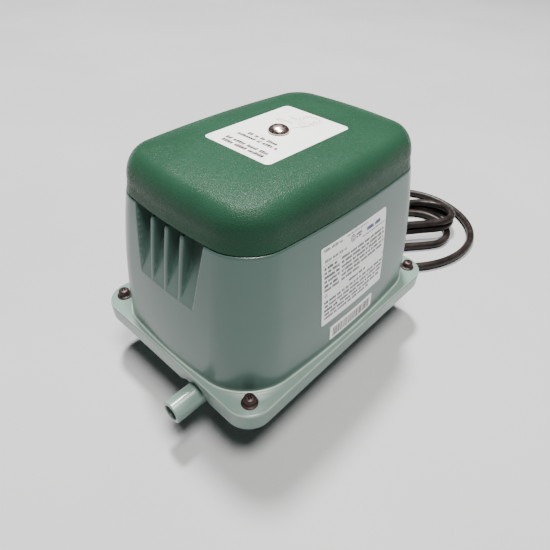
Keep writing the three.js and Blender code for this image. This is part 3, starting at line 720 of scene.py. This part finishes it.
def vent_depth(y, z):
    """How far the short wall is sunk at (y, z): the leaning floor, its side walls and the fins."""
    if z < VENT_LOW - 1:
        return 0.0
    full = max(face_x(y, z) - vent_floor(y, z), 0)
    t = (z - VENT_LOW) / (Z_DECK - VENT_LOW)
    inside = mix(*VENT_HALF, t) - abs(y)
    if inside <= 0:
        return 0.0
    rounded = VENT_EDGE * 0.98
    wall = VENT_EDGE - math.sqrt(VENT_EDGE ** 2 - min(inside, rounded) ** 2)
    wall += max(inside - rounded, 0) * VENT_SLOPE
    curve = min(max(z - (Z_DECK - FIN_CURVE_AT), 0) / FIN_CURVE_RUN, 1)
    gone = max(z - (Z_DECK - FIN_END), 0) * FIN_END_SLOPE
    depth = smooth_min(full, wall, 0.8)
    for k in FIN_PLACES:
        off = abs(y - k * FIN_PITCH)
        across = min(off / FIN_ROUND, 0.985) ** FIN_SQUARE
        fin = FIN_CROWN * (1 - (1 - across) ** (1 / FIN_SQUARE)) + FIN_SUNK
        fin += max(off - FIN_ROUND * 0.985, 0) * FIN_SLOPE
        fin += FIN_CURVE_DROP * (1 - math.sqrt(1 - curve ** 2)) + gone
        depth = smooth_min(depth, fin, 0.4) if fin < full + 0.4 else depth
    return max(depth, 0)


def inner_depth(y, z):
    """The recess as the hollow inside sees it: one smooth sunk panel, no fins."""
    if z < VENT_LOW - 8:
        return 0.0
    full = max(face_x(y, z) - vent_floor(y, z), 0)
    inside = 40 - abs(y)
    return smooth_min(full, max(inside, 0) * 3, 2)


def arch(y, z):
    """The local swelling of the skirt over the outlet nozzle."""
    reach, fade, height = 17, 6, 1.9
    t = min(max((reach - math.hypot(y - NOZZLE.y, z - NOZZLE.z)) / fade, 0), 1)
    return -height * t * t * (3 - 2 * t)


def housing_columns():
    """Columns that stand close together over each fin and each side of the intake."""
    fin = [0, 0.7, 1.15, 1.4, 1.6, 1.78, 1.95, 2.12, 2.3, 2.5, 2.8, 3.4, 4.6]
    stations = {0.0}
    for k in FIN_PLACES:
        for off in fin:
            stations |= {k * FIN_PITCH + off, k * FIN_PITCH - off}
    stations |= {side * (24 + 0.55 * i) for side in (-1, 1) for i in range(24)}
    stations |= {side * y for side in (-1, 1) for y in (21.2, 22.6)}
    kept = []
    for y in sorted(stations):
        if abs(y) <= 37 and (not kept or y - kept[-1] > 0.12):
            kept.append(y)
    return Columns(kept, 36, 16)


def make_housing():
    """The casting from the deck's middle down the walls, round the flange and back up inside."""
    columns = housing_columns()

    def wall(z, inset=0, depth=vent_depth):
        return columns.ring(body_shape(z), inset, z, depth)

    def flange(z, inset=0, depth=arch):
        return columns.ring(FLANGE, inset, z, depth)

    deck = wall(Z_DECK, 1.6)
    rings = capped(deck)[::-1] + [deck]
    edge = ((0.08, 1.05), (0.3, 0.55), (0.65, 0.22), (1.1, 0.05), (1.6, 0))
    rings += [wall(Z_DECK - down, inset) for down, inset in edge]
    heights = [Z_DECK - 2.1 - 0.4 * k for k in range(8)]
    heights += [Z_DECK - 5.4 - 1.25 * k for k in range(36)]
    heights += [114.6, 114, 113.4, 112, 110, 106, 101, 96, 91, 86, 81, 76, 71, 67, 63.5, 61]
    rings += [wall(z) for z in heights if z > Z_FLANGE + 2]
    bead = ((1.5, 0.0), (1.0, 0.1), (0.8, 0.3), (0.75, 0.7), (0.6, 1.05), (0.25, 1.35), (0.0, 1.7))
    rings += [wall(Z_FLANGE + up, -out, None) for up, out in bead]
    top_edge = flange(Z_FLANGE, 1.9, None)
    rings += [toward(rings[-1], top_edge, 0.5), top_edge]
    edge = ((0.18, 1.1), (0.6, 0.45), (1.3, 0.1), (2.1, 0))
    rings += [flange(Z_FLANGE - down, inset) for down, inset in edge]
    rings += [flange(z) for z in (53.6, 52, 50.8, 49.8, 48.8, 47.8, 46.6, 45.2, 43.8, 42.9)]
    rings += [flange(42.35, 0.15), flange(Z_SKIRT, 0.7)]
    rings += [flange(Z_SKIRT, WALL - 0.4, None), flange(Z_SKIRT + 0.4, WALL, None)]
    rings += [flange(z, WALL, None) for z in (47, Z_PLATE)]
    inside = (Z_PLATE, 70, 90, 107, 112, 118, 125, 132, 139, 146, 153, Z_DECK - WALL)
    rings += [wall(z, WALL, inner_depth) for z in inside]
    rings += capped(rings[-1])
    mesh = to_mesh("housing_shell", loft(rings))

    foot, top = Z_DECK - 2, 171
    boss = turned([(0, foot), (8.6, foot), (8, Z_DECK + 1), (8, top - 0.4), (7.4, top), (0, top)])
    mesh = combined(mesh, boss, "UNION")
    nozzle_hole, bolt_hole, cord_hole = 9.6, 3.3, 7.4
    cuts = rod_shape(nozzle_hole, NOZZLE.x - 10, -104, (0, NOZZLE.y, NOZZLE.z), "x")
    rod_shape(bolt_hole, 150, 180, bm=cuts)
    rod_shape(cord_hole, 100, 120, (0, GLAND_Y, GLAND_Z), "x", bm=cuts)
    for slot_x in (-40, 40):
        block(cuts, (slot_x - 6, -25, 150), (slot_x + 6, 25, 170), 2.5)
    mesh = combined(mesh, cuts, "DIFFERENCE")
    piece("housing_shell", mesh, "housing", "housing_paint", ("upper_housing",))


# ---------------------------------------------------------------- cover
COVER_CROWN = 1.9  # how far the flat middle swells over the end of the shoulder


def cover_profile(skin=0.0):
    """(height, inset) from the lower edge up over the rounded shoulder to the flat middle."""
    shoulder = Z_COVER + 7
    edge = ((0, 0.7), (0.15, 0.25), (0.5, 0.05), (1.1, 0.15), (3.5, 0.65))
    levels = [(Z_COVER + up, inset) for up, inset in edge] + [(shoulder, COVER_LEAN)]
    steps, sweep = 16, math.radians(84)
    rise = (Z_PLATEAU - COVER_CROWN - shoulder) / math.sin(sweep)
    for k in range(1, steps + 1):
        angle = sweep * k / steps
        inset = COVER_LEAN + COVER_FILLET * (1 - math.cos(angle))
        levels.append((shoulder + rise * math.sin(angle), inset))
    fillet_end = levels[-1][1]
    for k in range(1, 7):
        t = k / 6
        up = COVER_CROWN * (1 - (1 - t) ** 2)
        levels.append((Z_PLATEAU - COVER_CROWN + up, mix(fillet_end, 33, t)))
    if skin:
        levels = [(z - skin if k > 5 else z + 0.4 - skin * 0.2 * k / 5, inset + skin)
                  for k, (z, inset) in enumerate(levels)]
    return levels


def make_cover():
    """The cover's shell with the column that takes its bolt."""
    columns = Columns([-18, -12, -6, 0, 6, 12, 18], 40, 18, reach=22, spread=5)
    outer = [columns.ring(COVER, inset, z) for z, inset in cover_profile()]
    inner = [columns.ring(COVER, inset, z) for z, inset in cover_profile(3)[2:]]
    rings = capped(inner[-1])[::-1] + inner[::-1] + outer + capped(outer[-1])
    mesh = to_mesh("cover_shell", loft(rings), 50)
    ceiling = inner[-1][0].z
    column = turned([(0, 171.6), (7.6, 171.6), (8, 172), (8, ceiling), (9.4, ceiling + 1.2),
                     (0, ceiling + 1.2)])
    mesh = combined(mesh, column, "UNION")
    mesh = combined(mesh, rod_shape(3.5, 165, 200), "DIFFERENCE")
    piece("cover_shell", mesh, "cover", "cover_green", ("filter_cover",))


def make_bolt():
    """A domed cap on a plain shank, its rim just clear of the label."""
    rim = Z_PLATEAU + 0.65
    dome = [(0, 156), (2.6, 156), (3, 156.8), (3, rim + 0.45), (6.5, rim + 0.45), (6.5, rim),
            (BOLT_R - 0.25, rim), (BOLT_R, rim + 0.3)]
    steps, rise = 14, 4.3
    for k in range(1, steps):
        angle = math.pi / 2 * k / steps
        dome.append((BOLT_R * math.cos(angle), rim + 0.3 + rise * math.sin(angle)))
    dome.append((0, rim + 0.3 + rise))
    piece("dome_bolt", turned(dome, steps=64), "bolt", "bright_steel", ("cover_bolt",))


# ---------------------------------------------------------------- diaphragms
def web_height(r):
    """How far out the rolled web of a diaphragm stands at a radius."""
    foot, edge = (RIM_OUT, RIM_R) if r >= CREST_R else (HUB_OUT, HUB_R)
    t = max((edge - r) / (edge - CREST_R), 0)
    return mix(foot, CREST_OUT, 0.5 - 0.5 * math.cos(math.pi * t))


def make_diaphragms():
    """The clamped rim and the hub that follows the rod, parted at the crest of the rolled web."""
    axis = middle("drive_rod")
    rim = [38] + [RIM_R - 0.75 * k for k in range(8)] + [CREST_R + WEB_PART]
    hub = [CREST_R - WEB_PART] + [24.4 - 0.8 * k for k in range(8)] + [HUB_R, 12, 4.4]
    for side, end in ((-1, "outlet_end"), (1, "cord_end")):
        parts = (("rim", rim, "housing", (f"diaphragm_{end}",)), ("hub", hub, "rod", ()))
        for part, radii, body, nodes in parts:
            outline = [(r, side * web_height(r)) for r in radii]
            outline += [(r, side * (web_height(r) - WEB_THICK)) for r in reversed(radii)]
            bm = turned(outline, (0, axis.y, axis.z), "x", 64)
            piece(f"diaphragm_{part}_{end}", bm, body, "black_rubber", nodes)


# ---------------------------------------------------------------- screws
SCREW_HEAD = [
    # The washer flange, then the domed head, as (radius, height over the seat).
    (5.85, 0), (6.0, 0.35), (5.85, 0.75), (4.9, 1.25), (4.5, 1.55), (4.4, 4.2), (4.15, 5.1),
    (3.5, 5.75), (2.2, 6.1), (0, 6.2),
]


def cross_recess(at):
    """The four-armed driver recess: two tapered blocks crossing at the axis."""
    bm = bmesh.new()
    reach, width, depth, taper, twist = 2.6, 1.25, 2.8, 0.45, 0.35
    for turn in (0, math.pi / 2):
        made = bmesh.ops.create_cube(bm, size=1)["verts"]
        bmesh.ops.scale(bm, vec=(2 * reach, width, depth * 2), verts=made)
        for v in made:
            if v.co.z < 0:
                v.co.x *= taper
        place = Matrix.Translation(at) @ Matrix.Rotation(turn + twist, 4, "Z")
        bmesh.ops.transform(bm, matrix=place, verts=made)
    return bm


def make_screws():
    """A round head with a driver recess on a pressed washer flange, at each corner."""
    seat = Z_FLANGE + 0.25
    profile = [(0, 44), (2.3, 44), (2.3, seat)] + [(r, seat + up) for r, up in SCREW_HEAD]
    for k in range(1, 5):
        node = f"housing_screw_{k}"
        at = middle(node)
        mesh = to_mesh("screw", turned(profile, (at.x, at.y, 0), "z", 40), 30)
        mesh = combined(mesh, cross_recess(Vector((at.x, at.y, seat + 6.25))), "DIFFERENCE")
        piece(f"flange_screw_{k}", mesh, "housing", "dark_screw", (node,))


# ---------------------------------------------------------------- base
def make_nozzle():
    """A plain tube with a collar behind the skirt."""
    end, root, bore, outside, collar = low("outlet_nozzle").x, -86, 6.1, 9, 10
    profile = rounded_profile(
        [(bore, root), (bore, end), (outside, end), (outside, -100.3), (collar, -100.3),
         (collar, -96.6), (outside, -96.6), (outside, root), (bore, root)],
        [0, 0.8, 1.1, 0.3, 0.5, 0.5, 0, 0, 0],
    )
    bm = turned(profile, (0, NOZZLE.y, NOZZLE.z), "x", 56)
    piece("nozzle_tube", bm, "housing", "housing_paint", ("outlet_nozzle",), 50)


def make_tank():
    """The tray under the flange: a tapering sump with a wide rim."""
    columns = Columns([-30, -20, -10, 0, 10, 20, 30], 24, 12, spread=3)
    bottom = low("tank").z
    levels = [
        (bottom, 83, 55, 18), (bottom + 0.4, 85, 57, 20), (bottom + 1.6, 87.6, 59.6, 22),
        (bottom + 4, 90, 62, 24), (47, 96, 68, 24), (47, 112, 83.4, 15), (47.4, 112.4, 83.8, 15.4),
        (51, 112.4, 83.8, 15.4), (51, 93, 65, 21), (19.5, 84, 56, 18),
    ]
    rings = [columns.ring(dict(a=a, b=b, r=r, bow=0), 0, z) for z, a, b, r in levels]
    rings = capped(rings[0])[::-1] + rings + capped(rings[-1])
    mesh = to_mesh("tank_tray", loft(rings))
    cuts = rod_shape(9.3, -99, -80, (0, NOZZLE.y, NOZZLE.z), "x")
    for k in range(1, 5):
        at = middle(f"rubber_foot_{k}")
        rod_shape(2.4, 10, 25, (at.x, at.y, 0), "z", 20, cuts)
    mesh = combined(mesh, cuts, "DIFFERENCE")
    piece("tank_tray", mesh, "housing", "housing_paint", ("tank",))


def make_feet():
    """Rubber feet, each with a recess for its screw's head."""
    top = high("rubber_foot_1").z
    profile = rounded_profile(
        [(5.6, 6), (5.6, 0), (12.2, 0), (13, 2.2), (12, top - 1), (11, top), (2.5, top),
         (2.5, 6), (5.6, 6)],
        [0, 0.6, 1.2, 1, 0.8, 0, 0, 0, 0],
    )
    for k in range(1, 5):
        at = middle(f"rubber_foot_{k}")
        bm = turned(profile, (at.x, at.y, 0), "z", 40)
        piece(f"foot_{k}", bm, "housing", "black_rubber", (f"rubber_foot_{k}",))


# ---------------------------------------------------------------- labels
# How far the films lie proud of the wall and the cover, and ink's depth in and over its film.
SIDE_LIFT, TOP_LIFT = 0.32, 0.2
INK_SUNK, INK_PROUD = 0.06, 0.05
PRINT_SEED = 11


def wall_sheet(name, node):
    """A thin film lying on the long wall where the CAD label is, with its corners taken off."""
    lo, hi = low(node), high(node)
    cx, cz = (lo.x + hi.x) / 2, (lo.z + hi.z) / 2
    columns, rows, corner = 30, 20, 0.36
    bm = bmesh.new()
    sides = []
    for out in (SIDE_LIFT, 0.05):
        grid = []
        for j in range(rows + 1):
            row = []
            for i in range(columns + 1):
                x, z = mix(lo.x, hi.x, i / columns), mix(lo.z, hi.z, j / rows)
                if i in (0, columns) and j in (0, rows):
                    x += math.copysign(corner, cx - x)
                    z += math.copysign(corner, cz - z)
                row.append(bm.verts.new((x, -face_y(x, z) - out, z)))
            grid.append(row)
        sides.append(grid)
    front, back = sides
    for j in range(rows):
        for i in range(columns):
            bm.faces.new((front[j][i], front[j][i + 1], front[j + 1][i + 1], front[j + 1][i]))
            bm.faces.new((back[j][i], back[j + 1][i], back[j + 1][i + 1], back[j][i + 1]))
    border = [(0, i) for i in range(columns)] + [(j, columns) for j in range(rows)]
    border += [(rows, i) for i in range(columns, 0, -1)] + [(j, 0) for j in range(rows, 0, -1)]
    for (j0, i0), (j1, i1) in zip(border, border[1:] + border[:1]):
        bm.faces.new((front[j0][i0], back[j0][i0], back[j1][i1], front[j1][i1]))
    piece(name, bm, "housing", "label_film", (node,))


def make_labels():
    """Two films on the long wall, and a square one on the cover with a hole for the bolt."""
    wall_sheet("side_label", "rating_label")
    wall_sheet("bar_label", "code_label")
    lo, hi = low("cover_label"), high("cover_label")
    bottom, top = lo.z - 0.05, lo.z + TOP_LIFT
    shape = dict(a=hi.x, b=hi.y, r=4, bow=0)
    columns = Columns([-20, -10, 0, 10, 20], 16, 8, reach=22, spread=2)
    soft = columns.ring(shape, 0.12, top)

    def hole(z):
        ring = columns.ring(shape, 0, 0)
        return [p * (LABEL_HOLE_R / p.length) + Vector((0, 0, z)) for p in ring]

    rings = [hole(bottom), columns.ring(shape, 0, bottom), columns.ring(shape, 0, top - 0.1), soft,
             toward(soft, hole(top), 0.5), hole(top)]
    piece("top_label", loft(rings, closed=True), "cover", "label_film", ("cover_label",))


# ---------------------------------------------------------------- print on the labels
class Print:
    """Thin inked blocks on a label; place(u, v, out) gives the label's surface point."""

    def __init__(self, place):
        self.place = place
        self.bm = bmesh.new()
        self.draw = random.Random(PRINT_SEED)

    def quad(self, corners):
        """One closed slab from four (u, v) corners."""
        low_ring = [self.bm.verts.new(self.place(u, v, -INK_SUNK)) for u, v in corners]
        top_ring = [self.bm.verts.new(self.place(u, v, INK_PROUD)) for u, v in corners]
        self.bm.faces.new(top_ring)
        self.bm.faces.new(low_ring[::-1])
        for i in range(4):
            j = (i + 1) % 4
            self.bm.faces.new((low_ring[i], low_ring[j], top_ring[j], top_ring[i]))

    def bar(self, u0, u1, v0, v1, longest=5.0):
        pieces = max(math.ceil((u1 - u0) / longest), 1)
        for k in range(pieces):
            a, b = mix(u0, u1, k / pieces), mix(u0, u1, (k + 1) / pieces)
            self.quad([(a, v0), (b, v0), (b, v1), (a, v1)])

    def row(self, u0, u1, v, size, weight=0.6):
        """A row of dashes of word length, each made of small blocks; not letters."""
        u = u0
        while u < u1 - size:
            for _ in range(self.draw.randint(2, 8)):
                wide = size * self.draw.uniform(0.45, 0.8)
                if u + wide > u1:
                    break
                tall = size * self.draw.choice((0.8, 1, 1))
                end, top = u + wide * weight, v + tall
                self.quad([(u, v), (end, v), (end, top), (u, top)])
                u += wide
            u += size * 0.55

    def stroke(self, points, width=0.4):
        """A thin line through (u, v) points."""
        for (ua, va), (ub, vb) in zip(points, points[1:]):
            length = math.hypot(ub - ua, vb - va) or 1
            nu, nv = (va - vb) / length * width / 2, (ub - ua) / length * width / 2
            self.quad([(ua - nu, va - nv), (ub - nu, vb - nv),
                       (ub + nu, vb + nv), (ua + nu, va + nv)])

    def loop(self, u, v, ru, rv, steps, width=0.4):
        turns = [TAU * k / steps for k in range(steps + 1)]
        self.stroke([(u + ru * math.cos(t), v + rv * math.sin(t)) for t in turns], width)

    def finish(self, name, ink_name, ink_colour, body="housing"):
        piece(name, self.bm, body, "label_film", material=ink(ink_name, ink_colour))


def on_wall(u, v, out):
    return u, -face_y(u, v) - SIDE_LIFT - out, v


def on_cover(u, v, out):
    return v, -u, low("cover_label").z + TOP_LIFT + out


# Rows of print as (place, start, end).
HEADING_ROWS = [
    (132.7, -35, -19.5), (125.8, -35, -18.5), (118.6, -35, -18.5), (104.8, -35, -17),
    (97.5, -35, -19),
]
FINE_ROWS = [
    (129.4, -35, -18.5), (122.3, -35, -18.5), (115.2, -35, -18.5), (132.8, -16.8, 36),
    (129.3, -16.8, 36.4), (125.9, -16.8, 36.6), (122.4, -16.8, 36.8), (118.9, -16.8, 36.8),
    (115.3, -16.8, 6.5), (109.8, -8, 13.6), (104.9, -15.5, 36.8), (101.2, -34.5, 36.8),
    (97.6, -17.5, 36.8), (94, -34.5, 36.4), (90.6, -34.5, 19),
]
COVER_ROWS = [(-37.4, -17.7, 20.4), (-32.6, -19, 22), (-23.1, -17.6, 20), (-18.2, -12.7, 15.3)]
BAR_WIDTHS, GAP_WIDTHS = (0.35, 0.35, 0.7, 1.05), (0.35, 0.35, 0.7)


def print_side_label():
    """Headings at the left, rows of small print, a ring mark and a blue bar at the top right."""
    dark = Print(on_wall)
    dark.row(-34.5, -15, 146.2, 2.0)
    dark.row(-34, -11, 138.2, 2.0)
    dark.loop(-4.2, 143.4, 2.3, 2.3, 24, 0.6)
    dark.loop(-4.2, 143.4, 0.9, 1.3, 16, 0.5)
    dark.row(-0.4, 8, 143.6, 1.5, 0.8)
    dark.row(-0.4, 6, 141.5, 1.5, 0.8)
    for v, start, end in HEADING_ROWS:
        dark.row(start, end, v, 2.1, 0.86)
    dark.stroke([(-34.6, 110.7), (-31.8, 110.7), (-33.2, 113), (-34.6, 110.7)], 0.35)
    dark.bar(36, 37, 110.9, 112.1)
    dark.finish("side_print", "ink_black", (0.022, 0.022, 0.026))

    fine = Print(on_wall)
    fine.row(-10.5, 13.5, 147.2, 1.0)
    for v, start, end in FINE_ROWS:
        fine.row(start, end, v, 2.0, 0.8)
    fine.bar(-36, -17.5, 136.1, 136.3)
    fine.finish("side_print_fine", "ink_grey", (0.035, 0.035, 0.040))

    blue = Print(on_wall)
    blue.row(12.3, 30.5, 141.4, 2.7, 0.9)
    blue.row(7, 36.2, 138.7, 0.9, 0.7)
    blue.finish("side_print_blue", "ink_blue", (0.014, 0.022, 0.14))


def print_bar_label():
    """Upright bars of mixed width."""
    bars = Print(on_wall)
    u = -23.7
    while u < 24.2:
        wide = bars.draw.choice(BAR_WIDTHS)
        bars.bar(u, u + wide, 67, 75.6)
        u += wide + bars.draw.choice(GAP_WIDTHS)
    bars.finish("bar_print", "ink_brown", (0.075, 0.055, 0.05))


def print_cover_label():
    """Four bold rows across the label and a faint line drawing of a lid and its bolt."""
    bold = Print(on_cover)
    for v, start, end in COVER_ROWS:
        bold.row(start, end, v, 3.2, 0.82)
    bold.finish("top_print", "ink_top", (0.05, 0.022, 0.022), "cover")
    faint = Print(on_cover)
    faint.loop(2.6, 31.6, 8.8, 7.2, 36)
    faint.loop(2.6, 32.4, 6.6, 5.0, 32)
    faint.loop(6.4, 31.6, 1.2, 1.2, 14)
    faint.stroke([(6.4, 30.4), (7.6, 22), (3, 12.5), (2.6, 8.6)])
    faint.stroke([(9.6, 27), (8.6, 21), (5.2, 16.5)])
    faint.loop(3.4, 20.5, 3.2, 1.7, 20)
    for u, v in ((-16.6, 14.7), (-16.6, 17.2), (-12, 25.4), (-9.6, 17.8)):
        faint.row(u, u + 7.5, v, 1.1, 0.7)
    faint.finish("top_drawing", "ink_pink", (0.40, 0.16, 0.15), "cover")


# ---------------------------------------------------------------- carried-over CAD nodes
def dress_cad_nodes():
    """The inner pieces keep their CAD shape and get their slot's material."""
    slots = {row["node"]: row["material_slot"] for row in frame["record"]["subparts"]}
    for name, obj in frame["nodes"].items():
        obj.data.materials.clear()
        obj.data.materials.append(MATERIALS[slots[name]])


# ---------------------------------------------------------------- stage
def make_floor():
    """A plain pale disc, wide enough to meet the backdrop."""
    steps = 64
    turns = [TAU * k / steps for k in range(steps)]
    around = [Vector((math.cos(t), math.sin(t), 0)) for t in turns]
    rings = [[p * r for p in around] for r in (200, 800, 3000, 6000)]
    mesh = to_mesh("floor", loft([[Vector((0, 0, 0))]] + rings))
    n = Nodes("floor", (0.43, 0.44, 0.45), 0.7, specular=0.1)
    n.colour(n.mottle(3, 2), (0.42, 0.43, 0.44), (0.45, 0.46, 0.47))
    mesh.materials.append(n.material)
    floor = bpy.data.objects.new("floor", mesh)
    bpy.context.scene.collection.objects.link(floor)


LIGHTS_AIM = Vector((0, 0, 0.1))
BACKDROP = (0.84, 0.87, 0.9)
BACKDROP_AS_LIGHT, BACKDROP_SEEN = 0.06, 0.75


def area_light(name, at, size, power, colour):
    """A round lamp facing the pump; place and size in metres."""
    data = bpy.data.lights.new(name, "AREA")
    data.shape = "DISK"
    data.size = size
    data.energy = power
    data.color = colour
    light = bpy.data.objects.new(name, data)
    at = Vector(at)
    facing = (at - LIGHTS_AIM).to_track_quat("Z", "Y").to_matrix().to_4x4()
    light.matrix_world = Matrix.Translation(at) @ facing
    bpy.context.scene.collection.objects.link(light)


def make_lights():
    """A key lamp nearly overhead, a smaller one behind, and a backdrop that lights little."""
    area_light("key", (-0.15, -0.6, 3.1), 1.2, 145, (1.0, 0.98, 0.93))
    area_light("glint", (0.84, 1.26, 4.0), 0.54, 400, (1.0, 0.98, 0.95))
    world = bpy.data.worlds.new("studio")
    world.use_nodes = True
    tree = world.node_tree
    background = tree.nodes["Background"]
    background.inputs["Color"].default_value = (*BACKDROP, 1)
    seen = tree.nodes.new("ShaderNodeLightPath")
    strength = tree.nodes.new("ShaderNodeMapRange")
    strength.inputs["To Min"].default_value = BACKDROP_AS_LIGHT
    strength.inputs["To Max"].default_value = BACKDROP_SEEN
    tree.links.new(seen.outputs["Is Camera Ray"], strength.inputs["Value"])
    tree.links.new(strength.outputs["Result"], background.inputs["Strength"])
    bpy.context.scene.world = world


# ---------------------------------------------------------------- making
place_camera()
make_cord()
make_gland()
make_housing()
make_cover()
make_bolt()
make_diaphragms()
make_screws()
make_nozzle()
make_tank()
make_feet()
make_labels()
print_side_label()
print_bar_label()
print_cover_label()
dress_cad_nodes()
make_floor()
make_lights()
